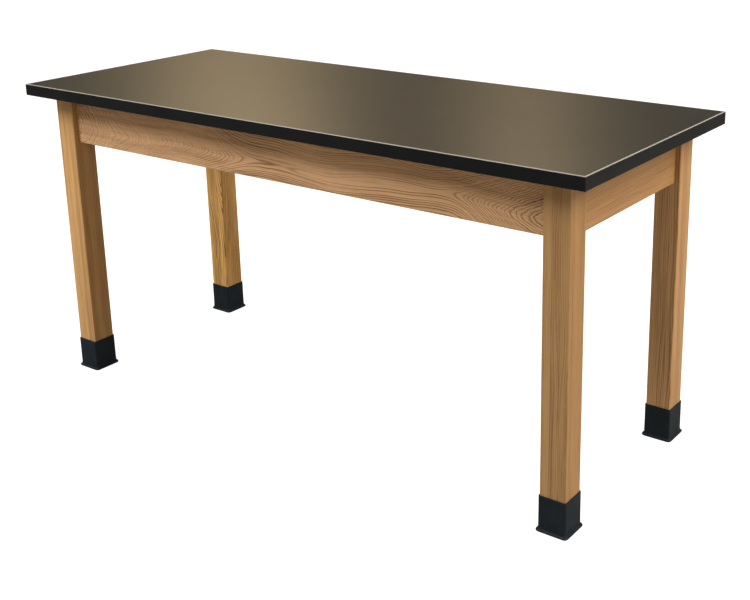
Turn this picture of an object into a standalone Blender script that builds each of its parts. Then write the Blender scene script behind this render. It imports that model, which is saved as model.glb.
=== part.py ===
"""Science lab table: a laminate worktop on a hardwood leg and apron frame.

At each corner a pressed steel bracket keys into saw kerfs in two aprons, and two
hanger bolts draw the leg against the apron ends. Z-shaped clips hold the worktop
down to the aprons. Under each leg a levelling glide screws into a tee nut, and a
rubber shoe slides on the leg and hides it.

Units are metres, +Z is up, the origin is on the floor under the middle of the
table, and the long side that faces the viewer is at -Y.
"""

import math

import bmesh
import bpy
from mathutils import Matrix, Vector

# Worktop
TOP_LENGTH = 1.524
TOP_DEPTH = 0.6096
TABLE_HEIGHT = 0.7366
CORE_THICKNESS = 0.0250
LAMINATE_THICKNESS = 0.0010
BACKER_THICKNESS = 0.0006
BAND_THICKNESS = 0.0030
BAND_EDGE_RADIUS = 0.0014

# Legs
LEG_WIDTH = 0.05715
LEG_EDGE_RADIUS = 0.0018
LEG_OVERHANG_X = 0.0508
LEG_OVERHANG_Y = 0.04445
LEG_FLOOR_GAP = 0.0180
LEG_CORNER_FLAT = 0.0100

# Aprons
APRON_HEIGHT = 0.1143
APRON_THICKNESS = 0.01905
APRON_SETBACK = 0.0127
APRON_EDGE_RADIUS = 0.0016
CLIP_GROOVE_DROP = 0.0095
CLIP_GROOVE_DEPTH = 0.0095

# Corner brackets
BRACKET_THICKNESS = 0.0025
BRACKET_HEIGHT = 0.0760
BRACKET_STANDOFF = 0.0140
BRACKET_WING = 0.0340
BRACKET_LIP = 0.0080
BRACKET_BEND_RADIUS = 0.0015
BRACKET_RIB_HEIGHT = 0.0030
BRACKET_RIB_WIDTH = 0.0100

# Hanger bolts and their flanged nuts
BOLT_RADIUS = 0.0040
BOLT_SPACING = 0.0420
BOLT_BITE = 0.0360
BOLT_END = 0.0045
NUT_ACROSS_FLATS = 0.0130
NUT_HEIGHT = 0.0065
NUT_FLANGE_RADIUS = 0.0088
NUT_FLANGE_THICKNESS = 0.0016

# Worktop clips
CLIP_THICKNESS = 0.0020
CLIP_WIDTH = 0.0190
CLIP_TONGUE = 0.0080
CLIP_STEP_OUT = 0.0045
CLIP_FOOT = 0.0220
CLIP_BEND_RADIUS = 0.0020
CLIPS_ON_LONG_APRON = 3
CLIP_END_INSET = 0.2032

# Levelling glides
SCREW_RADIUS = 0.0047625
SCREW_LENGTH = 0.0420
SCREW_HEX_ACROSS_FLATS = 0.0130
SCREW_HEX_HEIGHT = 0.0045
SCREW_NECK_RADIUS = 0.0034
SCREW_HEAD_RADIUS = 0.0070
SCREW_HEAD_HEIGHT = 0.0028
PAD_RADIUS = 0.0190
PAD_RIM_HEIGHT = 0.0045
PAD_BOSS_RADIUS = 0.0105
PAD_HEIGHT = 0.0115
PAD_FLOOR = 0.0030
PAD_EDGE_RADIUS = 0.0012
TEE_NUT_BARREL_RADIUS = 0.0064
TEE_NUT_BARREL_LENGTH = 0.0130
TEE_NUT_FLANGE_RADIUS = 0.0125
TEE_NUT_FLANGE_THICKNESS = 0.0015

# Leg shoes
SHOE_HEIGHT = 0.0762
SHOE_WALL = 0.0020
SHOE_RIM_ROUND = 0.0006
SHOE_FOOT_REACH = 0.0048
SHOE_FOOT_THICKNESS = 0.0042
SHOE_COVE_HEIGHT = 0.0080
SHOE_CORNER_RADIUS = 0.0018

# Clearances
SEAT_GAP = 0.0003
TURNING_GAP = 0.0003

# Facets on round work
ROUND_STEPS = 20
EDGE_STEPS = 2
BEND_STEPS = 3
COVE_STEPS = 4
SHOE_CORNER_STEPS = 4

# Values worked out from the sizes above
top_thickness = CORE_THICKNESS + LAMINATE_THICKNESS + BACKER_THICKNESS + 2 * SEAT_GAP
underside = TABLE_HEIGHT - top_thickness
frame_top = underside - SEAT_GAP
apron_bottom = frame_top - APRON_HEIGHT
apron_middle = frame_top - APRON_HEIGHT / 2
apron_inner = APRON_SETBACK + APRON_THICKNESS
leg_span_x = TOP_LENGTH - 2 * LEG_OVERHANG_X
leg_span_y = TOP_DEPTH - 2 * LEG_OVERHANG_Y
leg_centre = LEG_WIDTH / 2

# Seen from above, a corner's own x and y run inwards from the leg's outer corner,
# and these lie on the diagonal between them, measured from that corner.
flat_reach = (2 * LEG_WIDTH - LEG_CORNER_FLAT) / math.sqrt(2)
web_reach = flat_reach + BRACKET_STANDOFF + BRACKET_THICKNESS / 2
nut_seat = web_reach + BRACKET_THICKNESS / 2 + SEAT_GAP

# The bracket's wings lie along the aprons, and its lips are keyed into kerfs.
wing_line = apron_inner + SEAT_GAP + BRACKET_THICKNESS / 2
wing_start = web_reach * math.sqrt(2) - wing_line
lip_line = wing_start + BRACKET_WING

CORNERS = {
    "front_left": (-1, -1, 0),
    "front_right": (1, -1, 90),
    "back_right": (1, 1, 180),
    "back_left": (-1, 1, 270),
}


def clear_scene():
    for obj in list(bpy.data.objects):
        bpy.data.objects.remove(obj, do_unlink=True)


def make_finish(name, colour, roughness, metallic=0.0):
    finish = bpy.data.materials.new(name)
    finish.use_nodes = True
    shader = finish.node_tree.nodes["Principled BSDF"]
    shader.inputs["Base Color"].default_value = (*colour, 1.0)
    shader.inputs["Roughness"].default_value = roughness
    shader.inputs["Metallic"].default_value = metallic
    return finish


def box(low, high, eased=None, radius=0.0):
    """A box between two corners. The edges that eased accepts are rounded."""
    form = bmesh.new()
    bmesh.ops.create_cube(form, size=1.0)
    bmesh.ops.scale(form, vec=Vector(high) - Vector(low), verts=form.verts)
    bmesh.ops.translate(form, vec=(Vector(low) + Vector(high)) / 2, verts=form.verts)
    if eased:
        edges = [edge for edge in form.edges if eased(edge)]
        bmesh.ops.bevel(
            form, geom=edges, offset=radius, segments=EDGE_STEPS, profile=0.5, affect="EDGES"
        )
    return mesh_of(form)


def mesh_of(form):
    """Turns a finished bmesh into a mesh with its faces pointing out."""
    bmesh.ops.recalc_face_normals(form, faces=form.faces)
    mesh = bpy.data.meshes.new("shape")
    form.to_mesh(mesh)
    form.free()
    return mesh


def runs_along(axis):
    """Accepts the edges of a box that run along one axis."""

    def test(edge):
        run = edge.verts[1].co - edge.verts[0].co
        return abs(run[axis]) > 0.99 * run.length

    return test


def lies_at(axis, side):
    """Accepts the edges round one side of a box, such as the side at the highest y."""

    def test(edge):
        return all(vert.co[axis] * side > edge_limit(edge, axis, side) for vert in edge.verts)

    def edge_limit(edge, axis, side):
        reach = max(vert.co[axis] * side for face in edge.link_faces for vert in face.verts)
        return reach - 1e-6

    return test


def evaluated_mesh(obj):
    bpy.context.view_layer.update()
    graph = bpy.context.evaluated_depsgraph_get()
    return bpy.data.meshes.new_from_object(obj.evaluated_get(graph))


def combined(mesh, others, operation):
    """The mesh after a Boolean with each of the others in turn."""
    blank = bpy.data.objects.new("blank", mesh)
    workshop.objects.link(blank)
    tools = []
    for other in others:
        tool = bpy.data.objects.new("tool", other)
        workshop.objects.link(tool)
        tools.append(tool)
        step = blank.modifiers.new(operation.lower(), "BOOLEAN")
        step.operation = operation
        step.object = tool
    result = evaluated_mesh(blank)
    for obj in [blank, *tools]:
        bpy.data.objects.remove(obj)
    return result


def turned(profile, steps=ROUND_STEPS, closed=False):
    """A shape turned about Z. The profile is (radius, height) points, top to bottom."""
    mesh = bpy.data.meshes.new("profile")
    links = [(i, i + 1) for i in range(len(profile) - 1)]
    if closed:
        links.append((len(profile) - 1, 0))
    mesh.from_pydata([(radius, 0.0, height) for radius, height in profile], links, [])
    blank = bpy.data.objects.new("blank", mesh)
    workshop.objects.link(blank)
    turn = blank.modifiers.new("turn", "SCREW")
    turn.axis = "Z"
    turn.angle = math.tau
    turn.steps = steps
    turn.render_steps = steps
    turn.use_merge_vertices = True
    turn.merge_threshold = 0.00001
    result = evaluated_mesh(blank)
    bpy.data.objects.remove(blank)
    form = bmesh.new()
    form.from_mesh(result)
    return mesh_of(form)


def hexagon(across_flats, low, high):
    """A six-sided bar between two heights."""
    form = bmesh.new()
    radius = across_flats / math.sqrt(3)
    bmesh.ops.create_cone(
        form, cap_ends=True, segments=6, radius1=radius, radius2=radius, depth=high - low
    )
    bmesh.ops.translate(form, vec=(0.0, 0.0, (low + high) / 2), verts=form.verts)
    return mesh_of(form)


def rounded_path(points, radius):
    """The open path through these 2D points, with each bend an arc of this radius."""
    corners = [Vector(point) for point in points]
    path = [corners[0]]
    for before, bend, after in zip(corners, corners[1:], corners[2:]):
        back = (before - bend).normalized()
        onward = (after - bend).normalized()
        half_angle = back.angle(onward) / 2
        trim = radius / math.tan(half_angle)
        centre = bend + (back + onward).normalized() * (radius / math.sin(half_angle))
        first = bend + back * trim - centre
        last = bend + onward * trim - centre
        swing = -first.angle_signed(last)
        for i in range(BEND_STEPS + 1):
            path.append(centre + Matrix.Rotation(swing * i / BEND_STEPS, 2) @ first)
    path.append(corners[-1])
    return path


def folded_strip(points, bend_radius, thickness, width):
    """Sheet metal folded along a path in the XY plane, and as wide along Z as width."""
    path = rounded_path(points, bend_radius)
    form = bmesh.new()
    lower = [form.verts.new((point.x, point.y, -width / 2)) for point in path]
    for first, second in zip(lower, lower[1:]):
        form.edges.new((first, second))
    raised = bmesh.ops.extrude_edge_only(form, edges=form.edges)["geom"]
    upper = [item for item in raised if isinstance(item, bmesh.types.BMVert)]
    bmesh.ops.translate(form, vec=(0.0, 0.0, width), verts=upper)
    mesh = bpy.data.meshes.new("sheet")
    form.to_mesh(mesh)
    form.free()
    blank = bpy.data.objects.new("blank", mesh)
    workshop.objects.link(blank)
    wall = blank.modifiers.new("wall", "SOLIDIFY")
    wall.thickness = thickness
    wall.offset = 0.0
    wall.use_even_offset = True
    result = evaluated_mesh(blank)
    bpy.data.objects.remove(blank)
    form = bmesh.new()
    form.from_mesh(result)
    return mesh_of(form)


def moved(mesh, matrix):
    mesh.transform(matrix)
    return mesh


def add_piece(name, mesh, finish, parent=None, matrix=None, smooth=False):
    """A named object of the table. Copies of a repeated piece share its mesh."""
    if smooth:
        mesh.shade_smooth()
        mesh.set_sharp_from_angle(angle=math.radians(35))
    if not mesh.materials:
        mesh.materials.append(finish)
    obj = bpy.data.objects.new(name, mesh)
    lab_table.objects.link(obj)
    obj.parent = parent
    if matrix is not None:
        obj.matrix_local = matrix
    return obj


def add_guide(name, location, turn):
    """An empty that places the pieces parented to it."""
    guide = bpy.data.objects.new(name, None)
    lab_table.objects.link(guide)
    guide.location = location
    guide.rotation_euler = (0.0, 0.0, math.radians(turn))
    return guide


def along_diagonal(reach, height):
    """Carries a shape's +Z to a corner's inward diagonal, that far from the leg's corner."""
    level = reach / math.sqrt(2)
    return (
        Matrix.Translation((level, level, height))
        @ Matrix.Rotation(math.radians(45), 4, "Z")
        @ Matrix.Rotation(math.radians(90), 4, "Y")
    )


def add_worktop():
    """The board, its laminate and backer, and the four strips of edge band."""
    half_x = TOP_LENGTH / 2 - BAND_THICKNESS - SEAT_GAP
    half_y = TOP_DEPTH / 2 - BAND_THICKNESS - SEAT_GAP
    backer_top = underside + BACKER_THICKNESS
    core_low = backer_top + SEAT_GAP
    core_high = core_low + CORE_THICKNESS
    layers = [
        ("top_backer", underside, backer_top, backer_finish),
        ("top_core", core_low, core_high, board_finish),
        ("top_laminate", core_high + SEAT_GAP, TABLE_HEIGHT, laminate_finish),
    ]
    for name, low, high, finish in layers:
        add_piece(name, box((-half_x, -half_y, low), (half_x, half_y, high)), finish)

    radius = min(BAND_EDGE_RADIUS, 0.45 * BAND_THICKNESS)
    bands = [
        ("edge_band_front", TOP_LENGTH / 2, TOP_DEPTH / 2, 180),
        ("edge_band_back", TOP_LENGTH / 2, TOP_DEPTH / 2, 0),
        ("edge_band_left", half_y, TOP_LENGTH / 2, 90),
        ("edge_band_right", half_y, TOP_LENGTH / 2, 270),
    ]
    for name, half_length, outer, turn in bands:
        strip = box(
            (-half_length, outer - BAND_THICKNESS, underside),
            (half_length, outer, TABLE_HEIGHT),
            lies_at(1, 1),
            radius,
        )
        add_piece(name, strip, band_finish, matrix=Matrix.Rotation(math.radians(turn), 4, "Z"))


def apron_mesh(length):
    """An apron along X: its outer face is at y 0, and its grooves are in the inner face."""
    blank = box(
        (-length / 2, 0.0, apron_bottom),
        (length / 2, APRON_THICKNESS, frame_top),
        lambda edge: runs_along(0)(edge) and edge.verts[0].co.z < apron_middle,
        APRON_EDGE_RADIUS,
    )
    groove_low = frame_top - CLIP_GROOVE_DROP - CLIP_THICKNESS - 2 * SEAT_GAP
    groove = box(
        (-length, APRON_THICKNESS - CLIP_GROOVE_DEPTH, groove_low),
        (length, 2 * APRON_THICKNESS, frame_top - CLIP_GROOVE_DROP),
    )
    kerf_half = BRACKET_THICKNESS / 2 + SEAT_GAP
    leg_face = length / 2 + SEAT_GAP + LEG_WIDTH
    kerfs = []
    for side in (-1, 1):
        middle = side * (leg_face - lip_line)
        kerfs.append(
            box(
                (middle - kerf_half, APRON_THICKNESS - BRACKET_LIP - SEAT_GAP, apron_bottom - LEG_WIDTH),
                (middle + kerf_half, 2 * APRON_THICKNESS, frame_top + LEG_WIDTH),
            )
        )
    return combined(blank, [groove, *kerfs], "DIFFERENCE")


def clip_mesh():
    """A Z-shaped clip: a tongue for the groove, a riser, and a foot under the worktop."""
    tongue_height = frame_top - CLIP_GROOVE_DROP - SEAT_GAP - CLIP_THICKNESS / 2
    foot_height = underside - SEAT_GAP - CLIP_THICKNESS / 2
    riser = APRON_THICKNESS + CLIP_STEP_OUT
    profile = [
        (APRON_THICKNESS - CLIP_TONGUE, tongue_height),
        (riser, tongue_height),
        (riser, foot_height),
        (riser + CLIP_FOOT, foot_height),
    ]
    strip = folded_strip(profile, CLIP_BEND_RADIUS, CLIP_THICKNESS, CLIP_WIDTH)
    upright = Matrix(((0, 0, 1, 0), (1, 0, 0, 0), (0, 1, 0, 0), (0, 0, 0, 1)))
    return moved(strip, upright)


def add_aprons():
    """The four aprons, each with its worktop clips, on a guide that faces inwards."""
    long_length = leg_span_x - 2 * (LEG_WIDTH + SEAT_GAP)
    long_mesh = apron_mesh(long_length)
    short_mesh = apron_mesh(leg_span_y - 2 * (LEG_WIDTH + SEAT_GAP))
    outer_clip = long_length / 2 - CLIP_END_INSET
    clip = clip_mesh()
    line_x = leg_span_x / 2 - APRON_SETBACK
    line_y = leg_span_y / 2 - APRON_SETBACK
    aprons = [
        ("front", long_mesh, (0.0, -line_y, 0.0), 0, CLIPS_ON_LONG_APRON),
        ("right", short_mesh, (line_x, 0.0, 0.0), 90, 1),
        ("back", long_mesh, (0.0, line_y, 0.0), 180, CLIPS_ON_LONG_APRON),
        ("left", short_mesh, (-line_x, 0.0, 0.0), 270, 1),
    ]
    for side, mesh, location, turn, clips in aprons:
        guide = add_guide(f"guide_{side}", location, turn)
        add_piece(f"apron_{side}", mesh, apron_finish, guide)
        for i in range(clips):
            place = outer_clip * (2 * i / (clips - 1) - 1) if clips > 1 else 0.0
            add_piece(
                f"top_clip_{side}_{i + 1}", clip, steel_finish, guide,
                Matrix.Translation((place, 0.0, 0.0)), smooth=True,
            )


def leg_mesh():
    """A leg with its outer corner at x 0, y 0: a flat for the bolts, and all its holes."""
    blank = box(
        (0.0, 0.0, LEG_FLOOR_GAP), (LEG_WIDTH, LEG_WIDTH, frame_top), runs_along(2), LEG_EDGE_RADIUS
    )
    flat_height = APRON_HEIGHT + LEG_EDGE_RADIUS
    flat = box((-LEG_WIDTH, -LEG_WIDTH, -flat_height), (LEG_WIDTH, LEG_WIDTH, LEG_WIDTH))
    moved(flat, along_diagonal(flat_reach, frame_top) @ Matrix.Rotation(math.radians(-90), 4, "Y"))
    moved(flat, Matrix.Translation((LEG_WIDTH / math.sqrt(2), LEG_WIDTH / math.sqrt(2), 0.0)))
    holes = [flat]
    for height in bolt_heights():
        depth = BOLT_BITE + SEAT_GAP
        radius = BOLT_RADIUS + SEAT_GAP
        hole = turned([(0.0, LEG_WIDTH), (radius, LEG_WIDTH), (radius, -depth), (0.0, -depth)])
        holes.append(moved(hole, along_diagonal(flat_reach, height)))
    flange = TEE_NUT_FLANGE_RADIUS + SEAT_GAP
    barrel = TEE_NUT_BARREL_RADIUS + SEAT_GAP
    shaft = SCREW_RADIUS + 2 * TURNING_GAP
    flange_top = LEG_FLOOR_GAP + TEE_NUT_FLANGE_THICKNESS + SEAT_GAP
    barrel_top = LEG_FLOOR_GAP + TEE_NUT_BARREL_LENGTH + SEAT_GAP
    shaft_top = LEG_FLOOR_GAP + SCREW_LENGTH + TURNING_GAP
    bore = turned(
        [
            (0.0, shaft_top),
            (shaft, shaft_top),
            (shaft, barrel_top),
            (barrel, barrel_top),
            (barrel, flange_top),
            (flange, flange_top),
            (flange, 0.0),
            (0.0, 0.0),
        ]
    )
    holes.append(moved(bore, Matrix.Translation((leg_centre, leg_centre, 0.0))))
    return combined(blank, holes, "DIFFERENCE")


def bolt_heights():
    return (apron_middle + BOLT_SPACING / 2, apron_middle - BOLT_SPACING / 2)


def bracket_mesh():
    """A corner bracket: a web across the corner, two wings, and two lips bent into kerfs."""
    lip_tip = apron_inner - BRACKET_LIP
    outline = [
        (lip_tip, lip_line),
        (wing_line, lip_line),
        (wing_line, wing_start),
        (wing_start, wing_line),
        (lip_line, wing_line),
        (lip_line, lip_tip),
    ]
    plate = folded_strip(outline, BRACKET_BEND_RADIUS, BRACKET_THICKNESS, BRACKET_HEIGHT)
    holes = []
    for height in bolt_heights():
        radius = BOLT_RADIUS + SEAT_GAP
        reach = 4 * BRACKET_THICKNESS
        hole = turned([(0.0, reach), (radius, reach), (radius, -reach), (0.0, -reach)])
        holes.append(moved(hole, along_diagonal(web_reach, height - apron_middle)))
    pressed = combined(plate, [bracket_rib()], "UNION")
    return combined(pressed, holes, "DIFFERENCE")


def bracket_rib():
    """The stiffening rib pressed across the web, between the two bolts."""
    half_run = (wing_start - wing_line) / math.sqrt(2) / 2 - 2 * BRACKET_BEND_RADIUS
    rib = box(
        (-BRACKET_RIB_WIDTH / 2, -half_run, 0.0),
        (BRACKET_RIB_WIDTH / 2, half_run, BRACKET_RIB_HEIGHT + BRACKET_THICKNESS / 2),
        lies_at(2, 1),
        BRACKET_RIB_HEIGHT * 0.6,
    )
    return moved(rib, along_diagonal(web_reach, 0.0))


def bolt_mesh():
    """A hanger bolt along Z, with z 0 where it enters the leg."""
    end = nut_seat - flat_reach + NUT_HEIGHT + BOLT_END
    bevel = BOLT_RADIUS / 4
    return turned(
        [
            (0.0, end),
            (BOLT_RADIUS - bevel, end),
            (BOLT_RADIUS, end - bevel),
            (BOLT_RADIUS, -BOLT_BITE + 2 * bevel),
            (BOLT_RADIUS / 2, -BOLT_BITE),
            (0.0, -BOLT_BITE),
        ]
    )


def nut_mesh():
    """A flanged hexagon nut that stands on z 0."""
    overlap = NUT_FLANGE_THICKNESS / 2
    head = hexagon(NUT_ACROSS_FLATS, overlap, NUT_HEIGHT)
    flange = turned(
        [
            (0.0, NUT_FLANGE_THICKNESS * 1.5),
            (NUT_ACROSS_FLATS / 2, NUT_FLANGE_THICKNESS * 1.5),
            (NUT_FLANGE_RADIUS, NUT_FLANGE_THICKNESS),
            (NUT_FLANGE_RADIUS, 0.0),
            (0.0, 0.0),
        ]
    )
    radius = BOLT_RADIUS + SEAT_GAP
    above = 2 * NUT_HEIGHT
    bore = turned([(0.0, above), (radius, above), (radius, -NUT_HEIGHT), (0.0, -NUT_HEIGHT)])
    return combined(combined(head, [flange], "UNION"), [bore], "DIFFERENCE")


def tee_nut_mesh():
    """A tee nut with its flange's lower face at z 0 and its barrel up inside the leg."""
    bore = SCREW_RADIUS + TURNING_GAP
    return turned(
        [
            (bore, TEE_NUT_BARREL_LENGTH),
            (TEE_NUT_BARREL_RADIUS, TEE_NUT_BARREL_LENGTH),
            (TEE_NUT_BARREL_RADIUS, TEE_NUT_FLANGE_THICKNESS),
            (TEE_NUT_FLANGE_RADIUS, TEE_NUT_FLANGE_THICKNESS),
            (TEE_NUT_FLANGE_RADIUS, 0.0),
            (bore, 0.0),
        ],
        closed=True,
    )


def glide_screw_mesh():
    """The levelling screw: a head held in the pad, a neck, a hexagon and a threaded shank."""
    head_low = PAD_FLOOR + TURNING_GAP
    head_high = head_low + SCREW_HEAD_HEIGHT
    hex_high = LEG_FLOOR_GAP - SEAT_GAP
    hex_low = hex_high - SCREW_HEX_HEIGHT
    shank_top = LEG_FLOOR_GAP + SCREW_LENGTH - TURNING_GAP
    bevel = SCREW_RADIUS / 4
    shank = turned(
        [
            (0.0, shank_top),
            (SCREW_RADIUS - bevel, shank_top),
            (SCREW_RADIUS, shank_top - bevel),
            (SCREW_RADIUS, hex_low),
            (SCREW_NECK_RADIUS, hex_low),
            (SCREW_NECK_RADIUS, head_high),
            (SCREW_HEAD_RADIUS, head_high),
            (SCREW_HEAD_RADIUS, head_low),
            (0.0, head_low),
        ]
    )
    return combined(shank, [hexagon(SCREW_HEX_ACROSS_FLATS, hex_low, hex_high)], "UNION")


def glide_pad_mesh():
    """The glide's foot: a disc with a boss, and a socket that holds the screw's head."""
    socket_radius = SCREW_HEAD_RADIUS + TURNING_GAP
    socket_top = PAD_FLOOR + SCREW_HEAD_HEIGHT + 2 * TURNING_GAP
    mouth_radius = SCREW_NECK_RADIUS + TURNING_GAP
    edge = PAD_EDGE_RADIUS
    return turned(
        [
            (0.0, PAD_FLOOR),
            (socket_radius, PAD_FLOOR),
            (socket_radius, socket_top),
            (mouth_radius, socket_top),
            (mouth_radius, PAD_HEIGHT),
            (PAD_BOSS_RADIUS - edge, PAD_HEIGHT),
            (PAD_BOSS_RADIUS, PAD_HEIGHT - edge),
            (PAD_BOSS_RADIUS + edge, PAD_RIM_HEIGHT + edge),
            (PAD_RADIUS - edge, PAD_RIM_HEIGHT),
            (PAD_RADIUS, PAD_RIM_HEIGHT - edge),
            (PAD_RADIUS, edge),
            (PAD_RADIUS - edge, 0.0),
            (0.0, 0.0),
        ]
    )


def rounded_square(half, radius):
    """Points round a square of this half width, its corners arcs of this radius."""
    points = []
    for quarter in range(4):
        start = quarter * math.pi / 2
        for i in range(SHOE_CORNER_STEPS + 1):
            angle = start + i * math.pi / 2 / SHOE_CORNER_STEPS
            square_x = (half - radius) * (1 if math.cos(start + math.pi / 4) > 0 else -1)
            square_y = (half - radius) * (1 if math.sin(start + math.pi / 4) > 0 else -1)
            points.append((square_x + radius * math.cos(angle), square_y + radius * math.sin(angle)))
    return points


def shoe_profile():
    """(Distance out from the bore, height) pairs: up the outside, then down the bore."""
    foot_tip = SHOE_WALL + SHOE_FOOT_REACH
    lip = min(SHOE_FOOT_THICKNESS / 3, SHOE_FOOT_REACH / 3)
    cove_reach = SHOE_FOOT_REACH - lip
    profile = [(foot_tip - lip, 0.0), (foot_tip, lip), (foot_tip, SHOE_FOOT_THICKNESS - lip)]
    for i in range(COVE_STEPS + 1):
        angle = math.pi / 2 * i / COVE_STEPS
        profile.append(
            (
                SHOE_WALL + cove_reach * (1 - math.sin(angle)),
                SHOE_FOOT_THICKNESS + SHOE_COVE_HEIGHT * (1 - math.cos(angle)),
            )
        )
    round_off = min(SHOE_RIM_ROUND, SHOE_WALL / 3)
    profile += [(SHOE_WALL, SHOE_HEIGHT - round_off), (SHOE_WALL - round_off, SHOE_HEIGHT)]
    profile += [(0.0, SHOE_HEIGHT), (0.0, 0.0)]
    return profile


def shoe_mesh():
    """The shoe: its wall section carried round a square with rounded corners."""
    bore_half = LEG_WIDTH / 2 + SEAT_GAP
    form = bmesh.new()
    loops = []
    for out, height in shoe_profile():
        outline = rounded_square(bore_half + out, SHOE_CORNER_RADIUS + out)
        loops.append([form.verts.new((x, y, height)) for x, y in outline])
    for ring, following in zip(loops, loops[1:] + loops[:1]):
        for i, vert in enumerate(ring):
            after = (i + 1) % len(ring)
            form.faces.new((vert, ring[after], following[after], following[i]))
    return mesh_of(form)


def add_corners():
    """At each corner a leg, its bracket with bolts and nuts, and its levelling foot."""
    leg = leg_mesh()
    bracket = bracket_mesh()
    bolt = bolt_mesh()
    nut = nut_mesh()
    tee_nut = tee_nut_mesh()
    screw = glide_screw_mesh()
    pad = glide_pad_mesh()
    shoe = shoe_mesh()
    foot = Matrix.Translation((leg_centre, leg_centre, 0.0))
    for corner, (side_x, side_y, turn) in CORNERS.items():
        location = (side_x * leg_span_x / 2, side_y * leg_span_y / 2, 0.0)
        guide = add_guide(f"guide_{corner}", location, turn)
        add_piece(f"leg_{corner}", leg, leg_finish, guide)
        add_piece(
            f"corner_bracket_{corner}", bracket, steel_finish, guide,
            Matrix.Translation((0.0, 0.0, apron_middle)), smooth=True,
        )
        for level, height in zip(("upper", "lower"), bolt_heights()):
            bolt_place = along_diagonal(flat_reach, height)
            nut_place = along_diagonal(nut_seat, height)
            add_piece(f"hanger_bolt_{level}_{corner}", bolt, steel_finish, guide, bolt_place, smooth=True)
            add_piece(f"flange_nut_{level}_{corner}", nut, steel_finish, guide, nut_place, smooth=True)
        add_piece(
            f"tee_nut_{corner}", tee_nut, steel_finish, guide,
            Matrix.Translation((leg_centre, leg_centre, LEG_FLOOR_GAP)), smooth=True,
        )
        add_piece(f"glide_screw_{corner}", screw, steel_finish, guide, foot, smooth=True)
        add_piece(f"glide_pad_{corner}", pad, nylon_finish, guide, foot, smooth=True)
        add_piece(f"shoe_{corner}", shoe, rubber_finish, guide, foot, smooth=True)


clear_scene()
lab_table = bpy.data.collections.new("lab_table")
bpy.context.scene.collection.children.link(lab_table)
workshop = bpy.data.collections.new("workshop")
bpy.context.scene.collection.children.link(workshop)

laminate_finish = make_finish("black_laminate", (0.040, 0.038, 0.034), 0.35)
band_finish = make_finish("black_edge_band", (0.022, 0.023, 0.026), 0.40)
board_finish = make_finish("particle_board", (0.45, 0.33, 0.20), 0.85)
backer_finish = make_finish("backer_sheet", (0.20, 0.17, 0.14), 0.75)
leg_finish = make_finish("leg_hardwood", (0.47, 0.29, 0.14), 0.45)
apron_finish = make_finish("apron_hardwood", (0.44, 0.26, 0.14), 0.45)
steel_finish = make_finish("zinc_plated_steel", (0.62, 0.62, 0.60), 0.35, 1.0)
nylon_finish = make_finish("grey_nylon", (0.16, 0.16, 0.16), 0.55)
rubber_finish = make_finish("black_rubber", (0.020, 0.022, 0.024), 0.60)

add_worktop()
add_aprons()
add_corners()
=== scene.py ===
# %% [markdown]
# # A science lab table, dressed for a studio picture
#
# The table has a black laminate worktop, a hardwood frame of square legs and deep
# aprons, and black rubber shoes. The solid model of it is already packed, with every
# bracket and bolt in place. Here its surfaces get their finish: the wood its grain,
# the laminate its soft shine, and the parts that show most are modelled again with
# the fine roundings that catch the light.
#
# All lengths are in metres. The floor is at z = 0, and the long side that faces the
# viewer is at -Y.

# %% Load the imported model
import math

import bmesh
import bpy
from mathutils import Matrix, Vector


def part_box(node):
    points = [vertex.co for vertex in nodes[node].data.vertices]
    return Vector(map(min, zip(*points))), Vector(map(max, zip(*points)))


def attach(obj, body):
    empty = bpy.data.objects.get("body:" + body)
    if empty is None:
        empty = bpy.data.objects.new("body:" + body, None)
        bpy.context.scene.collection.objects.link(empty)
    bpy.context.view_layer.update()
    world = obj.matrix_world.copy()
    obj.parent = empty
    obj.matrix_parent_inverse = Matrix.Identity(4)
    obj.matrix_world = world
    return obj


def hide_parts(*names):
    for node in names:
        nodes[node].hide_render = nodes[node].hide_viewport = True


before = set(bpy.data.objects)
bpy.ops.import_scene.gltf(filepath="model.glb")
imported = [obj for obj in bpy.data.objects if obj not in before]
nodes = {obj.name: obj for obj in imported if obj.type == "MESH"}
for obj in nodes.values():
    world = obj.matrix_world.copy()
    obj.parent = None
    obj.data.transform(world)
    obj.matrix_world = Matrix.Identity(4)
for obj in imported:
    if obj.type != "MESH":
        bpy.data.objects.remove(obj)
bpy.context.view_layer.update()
CORNERS = ("front_left", "front_right", "back_right", "back_left")
SIDES = ("front", "right", "back", "left")

# %% [markdown]
# ## Sizes read from the model
#
# A piece that is modelled again has to sit exactly where the solid one was. So its
# place isn't typed in a second time: it is read from the box round the solid. Pieces
# that touch in the real table keep a hair's breadth apart in the solid model.

# %% Read the sizes that the new pieces need
top_high = Vector(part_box("edge_band_front")[1])
back_high = Vector(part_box("edge_band_back")[1])
TABLE_HEIGHT = top_high.z
HALF_LENGTH = top_high.x
HALF_DEPTH = back_high.y
shoe_low, shoe_high = (Vector(corner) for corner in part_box("shoe_front_right"))
leg_low, leg_high = (Vector(corner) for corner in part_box("leg_front_right"))
LEG_WIDTH = leg_high.x - leg_low.x
SEAT_GAP = 0.0003
print(f"worktop {HALF_LENGTH * 2:.3f} by {HALF_DEPTH * 2:.3f}, leg {LEG_WIDTH:.4f}")


def corner_place(corner):
    """The middle of a leg in plan."""
    low, high = (Vector(point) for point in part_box(f"leg_{corner}"))
    middle = (low + high) / 2
    return middle.x, middle.y


# %% [markdown]
# ## Colours
#
# Colours are easiest to judge as the 0 to 255 values that a picture shows. Shaders
# work with linear light, so each value is converted once, here.

# %% Convert picture colours to linear ones


def colour(red, green, blue):
    """The linear RGBA of a colour that a picture shows as these 0 to 255 values."""

    def linear(value):
        value = value / 255
        return value / 12.92 if value <= 0.04045 else ((value + 0.055) / 1.055) ** 2.4

    return (linear(red), linear(green), linear(blue), 1.0)


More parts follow.
